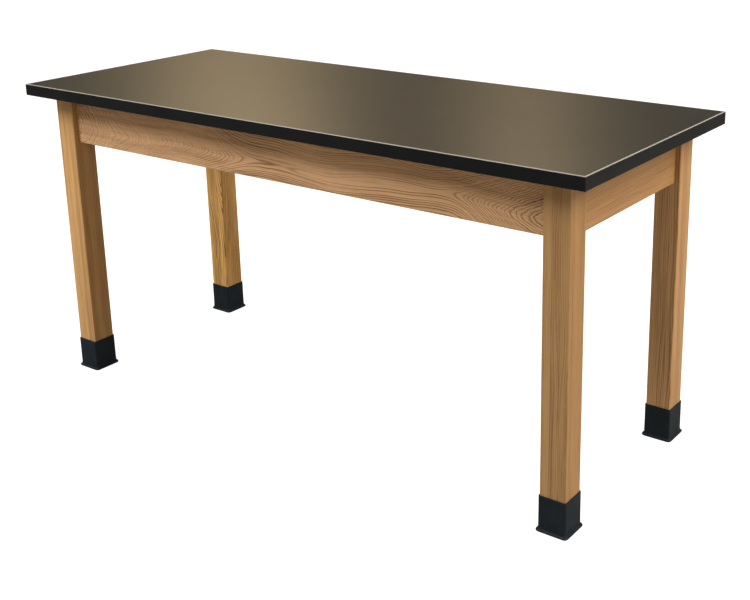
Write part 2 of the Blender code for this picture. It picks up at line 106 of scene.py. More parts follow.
WHITE = colour(255, 255, 255)

# %% [markdown]
# ## Small helpers for shader nodes
#
# A node group is a recipe that several materials share. These helpers keep the
# recipes short: one adds a node and sets its inputs, and the others add the sums and
# fades that nearly every pattern needs.

# %% Helpers for node groups


def new_group(name, inputs, outputs):
    """An empty shader group with these (name, socket type, default) sockets."""
    group = bpy.data.node_groups.new(name, "ShaderNodeTree")
    for label, kind, default in inputs:
        socket = group.interface.new_socket(label, in_out="INPUT", socket_type=f"NodeSocket{kind}")
        if default is not None:
            socket.default_value = default
    for label, kind in outputs:
        group.interface.new_socket(label, in_out="OUTPUT", socket_type=f"NodeSocket{kind}")
    start = group.nodes.new("NodeGroupInput")
    end = group.nodes.new("NodeGroupOutput")
    return group, start, end


def put(tree, kind, **settings):
    """Adds a node and sets its properties."""
    node = tree.nodes.new(f"ShaderNode{kind}")
    for key, value in settings.items():
        setattr(node, key, value)
    return node


def feed(tree, socket, source):
    """Gives an input a value, or links it to another node's output."""
    if isinstance(source, bpy.types.NodeSocket):
        tree.links.new(source, socket)
    else:
        socket.default_value = source


def sum_of(tree, operation, *terms):
    """A Math node over up to three terms, each a number or an output."""
    node = put(tree, "Math", operation=operation)
    for socket, term in zip(node.inputs, terms):
        feed(tree, socket, term)
    return node.outputs[0]


def fade(tree, value, low, high, start=0.0, end=1.0):
    """Moves smoothly from start to end while the value goes from low to high."""
    node = put(tree, "MapRange", interpolation_type="SMOOTHSTEP")
    labels = ("Value", "From Min", "From Max", "To Min", "To Max")
    for label, item in zip(labels, (value, low, high, start, end)):
        feed(tree, node.inputs[label], item)
    return node.outputs["Result"]


def noise(tree, vector, stretch, detail=2.0, roughness=0.5, offset=(0.0, 0.0, 0.0)):
    """Noise with its own number of waves per metre along each axis."""
    mapping = put(tree, "Mapping")
    feed(tree, mapping.inputs["Vector"], vector)
    mapping.inputs["Scale"].default_value = stretch
    mapping.inputs["Location"].default_value = offset
    texture = put(tree, "TexNoise")
    feed(tree, texture.inputs["Vector"], mapping.outputs["Vector"])
    texture.inputs["Scale"].default_value = 1.0
    texture.inputs["Detail"].default_value = detail
    texture.inputs["Roughness"].default_value = roughness
    return texture.outputs["Fac"]


def swing(tree, vector, stretch, detail, offset=(0.0, 0.0, 0.0)):
    """Noise that swings to both sides of 0."""
    return sum_of(tree, "SUBTRACT", noise(tree, vector, stretch, detail, offset=offset), 0.5)


def blend_colour(tree, share, first, second):
    """Mixes two colours by a share from 0 to 1."""
    node = put(tree, "Mix", data_type="RGBA")
    feed(tree, node.inputs["Factor"], share)
    feed(tree, node.inputs["A"], first)
    feed(tree, node.inputs["B"], second)
    return node.outputs["Result"]


# %% [markdown]
# ## A crooked log
#
# A log isn't a straight cylinder: its heart wanders, and on the way each ring is a
# little rippled. Both are done by moving the point before the rings are read. Noise
# added to the rings themselves would tear them into islands wherever they lie flat
# in the face, but a moved point only bends them.
#
# X runs along the grain here and in the group after it. Each noise is given by its
# waves per metre: few along the grain, more across it. An offset only picks another
# stretch of the same noise.

# %% The crooked log group
RIPPLE_WAVES = (20.0, 75.0, 75.0)
SWAY_Y_WAVES = (2.6, 1.5, 1.5)
SWAY_Z_WAVES = (3.2, 1.5, 1.5)
crooked, start, end = new_group(
    "crooked_log",
    [("Vector", "Vector", None), ("Wander", "Float", 0.02), ("Ripple", "Float", 0.01)],
    [("Vector", "Vector")],
)
where = start.outputs["Vector"]
ripple = swing(crooked, where, RIPPLE_WAVES, 1.5, (3.0, 8.0, 5.0))
sway_y = swing(crooked, where, SWAY_Y_WAVES, 1.0, (4.0, 1.0, 7.0))
sway_z = swing(crooked, where, SWAY_Z_WAVES, 1.0, (8.0, 5.0, 2.0))
away = put(crooked, "CombineXYZ")
feed(crooked, away.inputs["X"], sum_of(crooked, "MULTIPLY", ripple, start.outputs["Ripple"]))
feed(crooked, away.inputs["Y"], sum_of(crooked, "MULTIPLY", sway_y, start.outputs["Wander"]))
feed(crooked, away.inputs["Z"], sum_of(crooked, "MULTIPLY", sway_z, start.outputs["Wander"]))
moved = put(crooked, "VectorMath", operation="ADD")
feed(crooked, moved.inputs[0], where)
feed(crooked, moved.inputs[1], away.outputs["Vector"])
feed(crooked, end.inputs["Vector"], moved.outputs["Vector"])

# %% [markdown]
# ## Wood grain as a solid
#
# A board is a slice of a log, and its grain is where the slice cuts the growth
# rings. An image wrapped round a board would show its edges as wallpaper. So the
# rings are built in space: distance from the log's heart, divided by the width of a
# year.
#
# Where a log tapers, the rings run out of the face of the board, and the cuts join up
# into the nested arches that joiners call cathedral grain. The taper comes in from
# outside, so each board can have its arches where they look best.
#
# The log's heart is the line Y = Z = 0. One year goes from 0 to 1: dark, open spring
# wood at its start, then paler and denser wood, and a sharp step to the next spring.

# %% The growth rings
BEND_WAVES = (3.4, 8.0, 8.0)
PATCH_WAVES = (3.0, 14.0, 14.0)
UNEVEN_WAVES = 0.45
UNEVEN_YEARS = 1.2
SPRING_FADES = 0.42
NEXT_SPRING = 0.86
SUMMER_SHADE = 0.22
FAINTEST_PATCH = 0.40
grain, start, end = new_group(
    "board_grain",
    [
        ("Vector", "Vector", None),
        ("Taper", "Float", 0.0),
        ("Year Width", "Float", 0.003),
        ("Crook", "Float", 0.03),
        ("Contrast", "Float", 0.6),
        ("Streaks", "Float", 0.25),
        ("Pale Wood", "Color", colour(190, 145, 100)),
        ("Dark Wood", "Color", colour(112, 76, 48)),
    ],
    [("Color", "Color"), ("Roughness", "Float"), ("Height", "Float")],
)
where = start.outputs["Vector"]
split = put(grain, "SeparateXYZ")
feed(grain, split.inputs[0], where)
across = sum_of(grain, "POWER", split.outputs["Y"], 2.0)
upward = sum_of(grain, "POWER", split.outputs["Z"], 2.0)
radius = sum_of(grain, "SQRT", sum_of(grain, "ADD", across, upward))
distance = sum_of(grain, "ADD", radius, start.outputs["Taper"])
bend = swing(grain, where, BEND_WAVES, 1.0)
distance = sum_of(grain, "MULTIPLY_ADD", bend, start.outputs["Crook"], distance)
years = sum_of(grain, "DIVIDE", distance, start.outputs["Year Width"])
uneven = put(grain, "TexNoise", noise_dimensions="1D")
feed(grain, uneven.inputs["W"], years)
uneven.inputs["Scale"].default_value = UNEVEN_WAVES
years = sum_of(grain, "MULTIPLY_ADD", uneven.outputs["Fac"], UNEVEN_YEARS, years)
season = sum_of(grain, "FRACT", years)
fading = fade(grain, season, 0.0, SPRING_FADES, 1.0, 0.0)
spring_wood = sum_of(grain, "MAXIMUM", fading, fade(grain, season, NEXT_SPRING, 1.0))
softer = fade(grain, season, 0.0, 0.9, SUMMER_SHADE, 0.0)
lines = sum_of(grain, "MAXIMUM", spring_wood, softer)
patch = noise(grain, where, PATCH_WAVES, 1.0, offset=(5.5, 2.5, 9.5))
lines = sum_of(grain, "MULTIPLY", lines, fade(grain, patch, 0.35, 0.65, FAINTEST_PATCH, 1.0))

# %% [markdown]
# Finer marks lie over the rings. Pores are short dark dashes, most of them in the
# spring wood. Fibres and broad streaks shade the whole board. All of them add up to
# one share of the dark colour.

# %% Pores, fibres and the board's colour
PORE_WAVES = (95.0, 1500.0, 1500.0)
FIBRE_WAVES = (9.0, 420.0, 420.0)
STREAK_WAVES = (1.1, 55.0, 55.0)
PORE_DARKNESS = 0.30
FIBRE_SHADES = (-0.10, 0.18)
STREAK_SHADES = (-0.4, 1.0)
LACQUER_ROUGHNESS = (0.36, 0.50)
PORE_HEIGHT = -0.7
SUMMER_HEIGHT = 0.3
pores = fade(grain, noise(grain, where, PORE_WAVES, 1.0), 0.60, 0.70)
pores = sum_of(grain, "MULTIPLY", pores, fade(grain, spring_wood, 0.0, 1.0, 0.30, 1.0))
fibre = noise(grain, where, FIBRE_WAVES, 3.0, 0.6)
streak = noise(grain, where, STREAK_WAVES, 2.0, 0.55, offset=(1.0, 3.0, 6.0))

share = sum_of(grain, "MULTIPLY", lines, start.outputs["Contrast"])
share = sum_of(grain, "ADD", share, fade(grain, fibre, 0.30, 0.72, *FIBRE_SHADES))
banding = fade(grain, streak, 0.30, 0.70, *STREAK_SHADES)
share = sum_of(grain, "MULTIPLY_ADD", banding, start.outputs["Streaks"], share)
share = sum_of(grain, "MULTIPLY_ADD", pores, PORE_DARKNESS, share)
tint = blend_colour(grain, share, start.outputs["Pale Wood"], start.outputs["Dark Wood"])
feed(grain, end.inputs["Color"], tint)
feed(grain, end.inputs["Roughness"], fade(grain, fibre, 0.2, 0.8, *LACQUER_ROUGHNESS))
raised = fade(grain, spring_wood, 0.0, 1.0, SUMMER_HEIGHT, 0.0)
feed(grain, end.inputs["Height"], sum_of(grain, "MULTIPLY_ADD", pores, PORE_HEIGHT, raised))

# %% [markdown]
# ## Legs are glued up from staves
#
# A square leg this thick is rarely one piece of wood. Three boards are glued face to
# face and planed square, so each face across the joints shows three strips of
# different tone with a hairline between them. This group moves the point at which
# the grain is read by a different amount in each strip, and gives the strip's tone
# and the hairline.

# %% The glued staves group
STAVE_SHIFT = (3.0, 0.030, 0.016)
SEAM_SHARE = 0.030
staves, start, end = new_group(
    "glued_staves",
    [
        ("Vector", "Vector", None),
        ("Across", "Float", 0.0),
        ("Stave Width", "Float", 0.019),
        ("Seed", "Float", 0.0),
    ],
    [("Vector", "Vector"), ("Tone", "Float"), ("Seam", "Float")],
)
place = sum_of(staves, "DIVIDE", start.outputs["Across"], start.outputs["Stave Width"])
number = sum_of(staves, "FLOOR", place)
chance = put(staves, "TexWhiteNoise", noise_dimensions="1D")
feed(staves, chance.inputs["W"], sum_of(staves, "ADD", number, start.outputs["Seed"]))
shift = put(staves, "VectorMath", operation="MULTIPLY_ADD")
feed(staves, shift.inputs[0], chance.outputs["Color"])
shift.inputs[1].default_value = STAVE_SHIFT
feed(staves, shift.inputs[2], start.outputs["Vector"])
from_joint = sum_of(staves, "PINGPONG", place, 0.5)
feed(staves, end.inputs["Vector"], shift.outputs["Vector"])
feed(staves, end.inputs["Tone"], chance.outputs["Value"])
feed(staves, end.inputs["Seam"], fade(staves, from_joint, 0.0, SEAM_SHARE, 1.0, 0.0))

# %% [markdown]
# ## Speckle and smudges
#
# No moulded or plated surface is perfectly even. This group gives a fine speckle for
# the texture and a broad, faint cloud for handling and dust. Plastic, rubber and the
# paper backer share it with different sizes.

# %% The surface variation group
variation, start, end = new_group(
    "surface_variation",
    [("Vector", "Vector", None), ("Speckle Scale", "Float", 900.0), ("Cloud Scale", "Float", 9.0)],
    [("Speckle", "Float"), ("Cloud", "Float")],
)
for label, detail in (("Speckle", 2.0), ("Cloud", 3.0)):
    texture = put(variation, "TexNoise")
    feed(variation, texture.inputs["Vector"], start.outputs["Vector"])
    feed(variation, texture.inputs["Scale"], start.outputs[f"{label} Scale"])
    texture.inputs["Detail"].default_value = detail
    feed(variation, end.inputs[label], texture.outputs["Fac"])

# %% [markdown]
# ## From groups to materials
#
# Each material keeps its own Principled shader. Values that are the same all over,
# such as a lacquer coat, are typed straight into that shader, and the groups feed
# only what changes over the surface.

# %% Helpers for materials


def new_material(name, **constants):
    """A Principled material with these constant inputs, written with underscores."""
    material = bpy.data.materials.new(name)
    material.use_nodes = True
    shader = material.node_tree.nodes["Principled BSDF"]
    for key, value in constants.items():
        shader.inputs[key.replace("_", " ").title().replace("Ior", "IOR")].default_value = value
    return material, material.node_tree, shader


def place_group(tree, group, **values):
    """Puts a group in a material and sets its inputs."""
    node = tree.nodes.new("ShaderNodeGroup")
    node.node_tree = group
    for key, value in values.items():
        feed(tree, node.inputs[key.replace("_", " ")], value)
    return node


def object_point(tree, turn=(0.0, 0.0, 0.0), location=(0.0, 0.0, 0.0)):
    """The point on the piece, turned and moved to suit a pattern."""
    coordinates = put(tree, "TexCoord")
    mapping = put(tree, "Mapping")
    feed(tree, mapping.inputs["Vector"], coordinates.outputs["Object"])
    mapping.inputs["Rotation"].default_value = [math.radians(angle) for angle in turn]
    mapping.inputs["Location"].default_value = location
    return mapping.outputs["Vector"]


def add_relief(tree, shader, height, strength, distance):
    """Feeds a bump into the shader's normal."""
    bump = put(tree, "Bump")
    bump.inputs["Strength"].default_value = strength
    bump.inputs["Distance"].default_value = distance
    feed(tree, bump.inputs["Height"], height)
    feed(tree, shader.inputs["Normal"], bump.outputs["Normal"])


# %% [markdown]
# ## Hardwood for the aprons
#
# The aprons are flat-sawn boards: their wide faces run along the rings, so they show
# the boldest arches. The heart of the log lies outside the board, a few centimetres
# in front of it. Each apron reads its own stretch of log, and the lacquer is a thin
# clear coat.
#
# A board's heart is given as how far it lies in front of the middle of the board, and
# how far below it. Its figure is how far the log wanders, and how bold the rings are.
# Its rises say where the rings climb through its face, and how far: arches point
# right where they climb, and left where they sink. A swirl is where a branch once
# pushed the rings up, and they flow round it. The short right apron is cut further
# from the heart, so it shows only faint, nearly straight lines.

# %% Apron wood
LACQUER = {"coat_weight": 0.08, "coat_roughness": 0.30, "specular_ior_level": 0.3}
GRAIN_STRENGTH = 0.5
GRAIN_DEPTH = 0.00025
APRON_TURN = {"front": 0.0, "back": 180.0, "left": 90.0, "right": -90.0}
APRON_YEAR = 0.0052
APRON_STREAKS = 0.22
APRON_DARK = colour(104, 68, 38)
RIPPLE_SHARE = 0.44
CROOK_SHARE = 0.68


def swirl_height(tree, point, place, reach, height):
    """How far a swirl lifts the rings at a point: a hill twice as long as it is high."""
    stretched = put(tree, "VectorMath", operation="MULTIPLY")
    feed(tree, stretched.inputs[0], point)
    stretched.inputs[1].default_value = (0.5, 0.0, 1.0)
    near = put(tree, "VectorMath", operation="DISTANCE")
    feed(tree, near.inputs[0], stretched.outputs["Vector"])
    near.inputs[1].default_value = (0.5 * place[0], 0.0, place[1])
    return fade(tree, near.outputs["Value"], 0.0, reach, height, 0.0)


def apron_wood(side, heart, along, figure, pale, rises=(), swirls=()):
    """Lacquered flat-sawn wood for the apron on one side."""
    material, tree, shader = new_material(f"apron_wood_{side}", **LACQUER)
    low, high = (Vector(corner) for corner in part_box(f"apron_{side}"))
    middle = (low + high) / 2
    turn = (0.0, 0.0, APRON_TURN[side])
    face = Matrix.Rotation(math.radians(APRON_TURN[side]), 4, "Z") @ middle
    depth, level = heart
    wander, contrast = figure
    straight = object_point(tree, turn, (along - face.x, depth - face.y, level - middle.z))
    log = place_group(tree, crooked, Vector=straight, Wander=wander, Ripple=RIPPLE_SHARE * wander)
    point = log.outputs["Vector"]
    split = put(tree, "SeparateXYZ")
    feed(tree, split.inputs[0], point)
    taper = 0.0
    for left, right, climb in rises:
        rise = fade(tree, split.outputs["X"], along + left, along + right, 0.0, climb)
        taper = sum_of(tree, "ADD", rise, taper)
    for x, z, reach, height in swirls:
        hill = swirl_height(tree, point, (along + x, level + z), reach, height)
        taper = sum_of(tree, "ADD", hill, taper)
    board = place_group(
        tree, grain, Vector=point, Taper=taper, Year_Width=APRON_YEAR, Crook=CROOK_SHARE * wander,
        Contrast=contrast, Streaks=APRON_STREAKS, Pale_Wood=pale, Dark_Wood=APRON_DARK,
    )
    feed(tree, shader.inputs["Base Color"], board.outputs["Color"])
    feed(tree, shader.inputs["Roughness"], board.outputs["Roughness"])
    add_relief(tree, shader, board.outputs["Height"], GRAIN_STRENGTH, GRAIN_DEPTH)
    return material


# %% [markdown]
# Each rise is (from, to, climb), and each swirl is (along, up, reach, height), all
# measured from the middle of the board.

# %% The four aprons
APRON_BOARDS = {
    "front": {
        "heart": (0.022, 0.019), "along": 0.40, "figure": (0.050, 0.82),
        "pale": colour(200, 158, 116),
        "rises": ((-0.80, -0.04, 0.28), (0.44, 0.68, -0.10)),
        "swirls": ((-0.55, -0.010, 0.060, 0.020), (0.40, 0.034, 0.060, 0.026)),
    },
    "right": {
        "heart": (0.050, 0.100), "along": 1.70, "figure": (0.016, 0.34),
        "pale": colour(154, 115, 72),
    },
    "back": {
        "heart": (0.030, 0.000), "along": 3.10, "figure": (0.050, 0.85),
        "pale": colour(200, 158, 114),
        "rises": ((-0.70, 0.00, -0.20), (0.10, 0.70, 0.18)),
        "swirls": ((-0.20, 0.020, 0.050, 0.016), (0.45, -0.015, 0.060, 0.014)),
    },
    "left": {
        "heart": (0.036, -0.020), "along": 4.60, "figure": (0.050, 0.75),
        "pale": colour(196, 152, 104),
        "rises": ((-0.45, 0.45, 0.14),),
        "swirls": ((0.06, 0.010, 0.050, 0.012),),
    },
}
for side, board in APRON_BOARDS.items():
    nodes[f"apron_{side}"].material_slots[0].material = apron_wood(side, **board)
print("apron woods:", len(APRON_BOARDS))

# %% [markdown]
# ## Hardwood for the legs
#
# A leg's grain runs upright, so the point is turned before the grain group reads it.
# The staves are counted along the table's length, which puts the glue lines on the
# front and back faces. A leg is cut well away from the heart, so its rings run nearly
# straight. Only the one at the back left is from a crooked log, with bold curves.

# %% Leg wood
LEG_YEAR = 0.0042
LEG_STREAKS = 0.30
LEG_RIPPLE = 0.010
LEG_FROM_HEART = (0.0, 0.055, 0.050)
LEG_DARK = colour(108, 70, 32)
STAVES_IN_LEG = 3
TONE_SPREAD = 0.26
SEAM_DARKNESS = 0.45


def leg_wood(corner, seed, figure, pale):
    """Lacquered wood for one leg, glued up from three staves."""
    material, tree, shader = new_material(f"leg_wood_{corner}", **LACQUER)
    x, y = corner_place(corner)
    upright = object_point(tree, (0.0, 90.0, 0.0), (seed, -y, x))
    split = put(tree, "SeparateXYZ")
    feed(tree, split.inputs[0], object_point(tree, location=(LEG_WIDTH / 2 - x, 0.0, 0.0)))
    strips = place_group(
        tree, staves, Vector=upright, Across=split.outputs["X"],
        Stave_Width=LEG_WIDTH / STAVES_IN_LEG, Seed=seed,
    )
    shifted = put(tree, "VectorMath", operation="ADD")
    feed(tree, shifted.inputs[0], strips.outputs["Vector"])
    shifted.inputs[1].default_value = LEG_FROM_HEART
    wander, contrast = figure
    log = place_group(
        tree, crooked, Vector=shifted.outputs["Vector"], Wander=wander, Ripple=LEG_RIPPLE
    )
    board = place_group(
        tree, grain, Vector=log.outputs["Vector"], Year_Width=LEG_YEAR, Crook=wander,
        Contrast=contrast, Streaks=LEG_STREAKS, Pale_Wood=pale, Dark_Wood=LEG_DARK,
    )
    tone = fade(tree, strips.outputs["Tone"], 0.0, 1.0, 0.0, TONE_SPREAD)
    toned = blend_colour(tree, tone, board.outputs["Color"], LEG_DARK)
    seam = sum_of(tree, "MULTIPLY", strips.outputs["Seam"], SEAM_DARKNESS)
    seamed = blend_colour(tree, seam, toned, LEG_DARK)
    feed(tree, shader.inputs["Base Color"], seamed)
    feed(tree, shader.inputs["Roughness"], board.outputs["Roughness"])
    add_relief(tree, shader, board.outputs["Height"], GRAIN_STRENGTH, GRAIN_DEPTH)
    return material


LEG_BLANKS = {
    "front_left": (11.0, (0.012, 0.30), colour(201, 156, 100)),
    "front_right": (23.0, (0.015, 0.40), colour(175, 137, 90)),
    "back_right": (37.0, (0.015, 0.45), colour(199, 156, 108)),
    "back_left": (53.0, (0.070, 0.95), colour(232, 182, 106)),
}
for corner, (seed, figure, pale) in LEG_BLANKS.items():
    wood = leg_wood(corner, seed, figure, pale)
    nodes[f"leg_{corner}"].material_slots[0].material = wood
print("leg woods:", len(LEG_BLANKS))

# %% [markdown]
# ## Laminate, edge band and rubber
#
# High-pressure laminate has a very fine pressed texture. It breaks up a reflection
# into a soft glow, so the black top looks olive where it mirrors a warm wall. The
# edge band is a plainer black, with a pale line painted along its top corner: partly
# the planed corner's lighter colour, partly a painted highlight. Rubber is the least
# shiny of the three.

# %% Black materials
SPECKLE_STRENGTH = 0.35


def moulded_surface(name, base, rough, speckle, relief, cloud, **constants):
    """A surface with a fine texture and a faint cloud of handling.

    base is the darkest and the lightest colour, and rough the mean roughness and how
    far it spreads. speckle and cloud are waves per metre, and relief is in metres.
    """
    material, tree, shader = new_material(name, **constants)
    point = object_point(tree)
    detail = place_group(tree, variation, Vector=point, Speckle_Scale=speckle, Cloud_Scale=cloud)
    low, high = base
    tint = blend_colour(tree, fade(tree, detail.outputs["Cloud"], 0.3, 0.7), low, high)
    feed(tree, shader.inputs["Base Color"], tint)
    mean, spread = rough
    smooth = fade(tree, detail.outputs["Speckle"], 0.3, 0.7, mean - spread, mean + spread)
    feed(tree, shader.inputs["Roughness"], smooth)
    add_relief(tree, shader, detail.outputs["Speckle"], SPECKLE_STRENGTH, relief)
    return material, tree, shader, tint


laminate_black, _, _, _ = moulded_surface(
    "laminate_black", (colour(29, 26, 22), colour(34, 31, 27)), rough=(0.30, 0.02),
    speckle=1400.0, relief=0.00003, cloud=5.0,
)
rubber_black, _, _, _ = moulded_surface(
    "rubber_black", (colour(17, 25, 32), colour(22, 31, 38)), rough=(0.50, 0.06),
    speckle=1100.0, relief=0.00012, cloud=35.0, specular_ior_level=0.13,
)
band_black, tree, shader, tint = moulded_surface(
    "band_black", (colour(10, 12, 16), colour(14, 16, 19)), rough=(0.42, 0.04),
    speckle=1200.0, relief=0.00006, cloud=12.0, specular_ior_level=0.14,
)
# The pale strip along the band's top corner is partly the planed edge's own lighter colour and
# partly a painted highlight of the rounded corner.
ARRIS = 0.0012
ARRIS_PALE_AND_HIGHLIGHT = colour(138, 134, 126)
height = put(tree, "SeparateXYZ")
feed(tree, height.inputs[0], object_point(tree))
pale_edge_and_highlight = fade(tree, height.outputs["Z"], TABLE_HEIGHT - ARRIS, TABLE_HEIGHT - 0.5 * ARRIS)
feed(tree, shader.inputs["Base Color"], blend_colour(tree, pale_edge_and_highlight, tint, ARRIS_PALE_AND_HIGHLIGHT))

# %% [markdown]
# ## Steel, nylon, particle board and backer
#
# Zinc plate is bright, a little yellow, and clouded by its crystals. The glide pads
# are grey nylon. Particle board is pressed from chips, and the sheet glued under it
# is brown paper and resin.

# %% The hidden materials
CRYSTALS_PER_METRE = 260.0
CHIPS_PER_METRE = 420.0
CHIP_STRENGTH = 0.4
CHIP_DEPTH = 0.0003


def zinc_steel():
    """Bright zinc plate with faint crystals."""
    material, tree, shader = new_material("zinc_plate", metallic=1.0)
    crystals = put(tree, "TexVoronoi")
    feed(tree, crystals.inputs["Vector"], object_point(tree))
    crystals.inputs["Scale"].default_value = CRYSTALS_PER_METRE
    grey, pale = colour(188, 188, 182), colour(214, 212, 200)
    tint = blend_colour(tree, crystals.outputs["Color"], grey, pale)
    feed(tree, shader.inputs["Base Color"], tint)
    rough = fade(tree, crystals.outputs["Distance"], 0.0, 0.8, 0.26, 0.40)
    feed(tree, shader.inputs["Roughness"], rough)
    return material


def particle_board():
    """Pressed chips in several browns."""
    material, tree, shader = new_material("particle_board", roughness=0.85)
    chips = put(tree, "TexVoronoi")
    feed(tree, chips.inputs["Vector"], object_point(tree))
    chips.inputs["Scale"].default_value = CHIPS_PER_METRE
    split = put(tree, "SeparateColor")
    feed(tree, split.inputs[0], chips.outputs["Color"])
    tint = blend_colour(tree, split.outputs[0], colour(196, 164, 118), colour(142, 106, 68))
    feed(tree, shader.inputs["Base Color"], tint)
    add_relief(tree, shader, chips.outputs["Distance"], CHIP_STRENGTH, CHIP_DEPTH)
    return material


zinc_plate = zinc_steel()
chip_board = particle_board()
nylon_grey, _, _, _ = moulded_surface(
    "nylon_grey", (colour(104, 104, 102), colour(116, 116, 112)), rough=(0.50, 0.05),
    speckle=900.0, relief=0.0001, cloud=40.0,
)
backer_brown, _, _, _ = moulded_surface(
    "backer_brown", (colour(118, 92, 66), colour(132, 104, 76)), rough=(0.70, 0.06),
    speckle=300.0, relief=0.0001, cloud=6.0,
)
nodes["top_core"].material_slots[0].material = chip_board
nodes["top_backer"].material_slots[0].material = backer_brown
METAL_NAMES = (
    "top_clip_", "corner_bracket_", "hanger_bolt_", "flange_nut_", "tee_nut_", "glide_screw_"
)
for name, node in nodes.items():
    if name.startswith(METAL_NAMES):
        node.material_slots[0].material = zinc_plate
    elif name.startswith("glide_pad_"):
        node.material_slots[0].material = nylon_grey

# %% [markdown]
# ## Helpers for modelling
#
# An operator works on whatever is selected, as it would under the mouse. So nothing
# may be left selected from the step before, and the faces or edges to work on are
# picked by where they are.

# %% Helpers for modelling
TOLERANCE = 1e-5
SMOOTH_ANGLE = 35.0


def clear_selection():
    """Leaves no object selected."""
    bpy.ops.object.select_all(action="DESELECT")


def pick_edges(obj, test):
    """In edit mode, selects only the edges whose two ends pass a test."""
    bpy.ops.mesh.select_mode(type="EDGE")
    bpy.ops.mesh.select_all(action="DESELECT")
    form = bmesh.from_edit_mesh(obj.data)
    picked = [edge for edge in form.edges if test(edge.verts[0].co, edge.verts[1].co)]
    for edge in picked:
        edge.select_set(True)
    bmesh.update_edit_mesh(obj.data)
    return len(picked)


def use_modifiers(obj):
    """Applies every modifier of a piece in order."""
    clear_selection()
    obj.select_set(True)
    bpy.context.view_layer.objects.active = obj
    for modifier in list(obj.modifiers):
        bpy.ops.object.modifier_apply(modifier=modifier.name)


def finish_piece(obj, name, material, body, slot, *replaced):
    """Names a piece, leaves its place in its mesh, and says what it belongs to."""
    clear_selection()
    obj.select_set(True)
    bpy.context.view_layer.objects.active = obj
    bpy.ops.object.transform_apply(location=True, rotation=True, scale=True)
    bpy.ops.object.shade_smooth_by_angle(angle=math.radians(SMOOTH_ANGLE))
    even = obj.modifiers.new("even_shine", "WEIGHTED_NORMAL")
    even.keep_sharp = True
    use_modifiers(obj)
    obj.name = name
    obj.data.name = name
    obj.data.materials.clear()
    obj.data.materials.append(material)
    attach(obj, body)
    if replaced:
        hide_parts(*replaced)


def new_block(low, high):
    """A cube primitive stretched between two corners."""
    clear_selection()
    low, high = Vector(low), Vector(high)
    bpy.ops.mesh.primitive_cube_add(size=1.0, location=(low + high) / 2)
    block = bpy.context.object
    block.scale = high - low
    bpy.ops.object.transform_apply(location=True, rotation=True, scale=True)
    return block


def new_outline(points):
    """A chain of edges drawn point by point, left in edit mode."""
    clear_selection()
    bpy.ops.mesh.primitive_plane_add(size=0.01, location=points[0])
    outline = bpy.context.object
    bpy.ops.object.transform_apply(location=True, rotation=True, scale=True)
    bpy.ops.object.mode_set(mode="EDIT")
    bpy.ops.mesh.select_mode(type="VERT")
    bpy.ops.mesh.merge(type="CENTER")
    for before, after in zip(points, points[1:]):
        step = Vector(after) - Vector(before)
        bpy.ops.mesh.extrude_vertices_move(TRANSFORM_OT_translate={"value": step})
    return outline


def copy_of(pattern):
    """A copy of a pattern piece, with its own mesh."""
    piece = pattern.copy()
    piece.data = pattern.data.copy()
    bpy.context.collection.objects.link(piece)
    return piece


# %% [markdown]
# ## The laminate sheet
#
# The sheet is trimmed flush with the edge band, and its rim is eased with a file. It
# is a block with a small bevel on the top rim: the bevel is what separates the sheet
# from the band in a raking light.

# %% Laminate sheet
RIM_EASE = 0.0004
sheet_low, sheet_high = (Vector(corner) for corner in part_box("top_laminate"))
sheet = new_block(sheet_low, sheet_high)
bpy.ops.object.mode_set(mode="EDIT")
pick_edges(sheet, lambda a, b: min(a.z, b.z) > TABLE_HEIGHT - TOLERANCE)
bpy.ops.mesh.bevel(offset=RIM_EASE, segments=2, affect="EDGES")
bpy.ops.object.mode_set(mode="OBJECT")
finish_piece(sheet, "laminate_sheet", laminate_black, "table", "black_laminate", "top_laminate")

# %% [markdown]
# ## The edge bands
#
# Each band is a thick strip glued to the board's edge and planed flush. Its two long
# outer corners are rounded with three segments, which is enough for a clean
# highlight. The front and back bands run the whole length and hide the ends of the
# side bands.

# %% Edge bands
BAND_ROUND = 0.0013
for side in SIDES:
    low, high = (Vector(corner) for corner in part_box(f"edge_band_{side}"))
    axis = 1 if side in ("front", "back") else 0
    outer = max(abs(low[axis]), abs(high[axis]))
    band = new_block(low, high)
    bpy.ops.object.mode_set(mode="EDIT")
    count = pick_edges(
        band,
        lambda a, b: min(abs(a[axis]), abs(b[axis])) > outer - TOLERANCE
        and abs(a.z - b.z) < TOLERANCE,
    )
    bpy.ops.mesh.bevel(offset=BAND_ROUND, segments=3, affect="EDGES")
    bpy.ops.object.mode_set(mode="OBJECT")
    finish_piece(band, f"band_{side}", band_black, "table", "black_edge_band", f"edge_band_{side}")
    print(f"band_{side}: {count} corners rounded")

# %% [markdown]
# ## The rubber shoes
#
# A shoe is a square sleeve with a foot that flares out in a cove and ends in a round
# lip. The flare has to run smoothly round the corners, each loop with its own radius.
# So the wall's section is drawn once and carried round the leg, as a moulding is: a
# straight run along each side and a quarter turn at each corner. All the quarter
# turns have their middle in the bore's own corner, which gives every loop its right
# radius by itself.

# %% Rubber shoe
SHOE_HEIGHT = shoe_high.z
SHOE_REACH = (shoe_high.x - shoe_low.x) / 2
BORE_HALF = LEG_WIDTH / 2 + SEAT_GAP
BORE_ROUND = 0.0018
WALL = 0.0020
FOOT_THICKNESS = 0.0042
COVE_HEIGHT = 0.0080
LIP_ROUND = 0.0018
RIM_ROUND = 0.0007
COVE_STEPS = 8
CORNER_STEPS = 6


def arc(middle, radius, start, stop, steps):
    """(Distance out, height) pairs round an arc, its angles in degrees."""
    pairs = []
    for step in range(steps + 1):
        angle = math.radians(start + (stop - start) * step / steps)
        out, height = radius * math.cos(angle), radius * math.sin(angle)
        pairs.append((middle[0] + out, middle[1] + height))
    return pairs


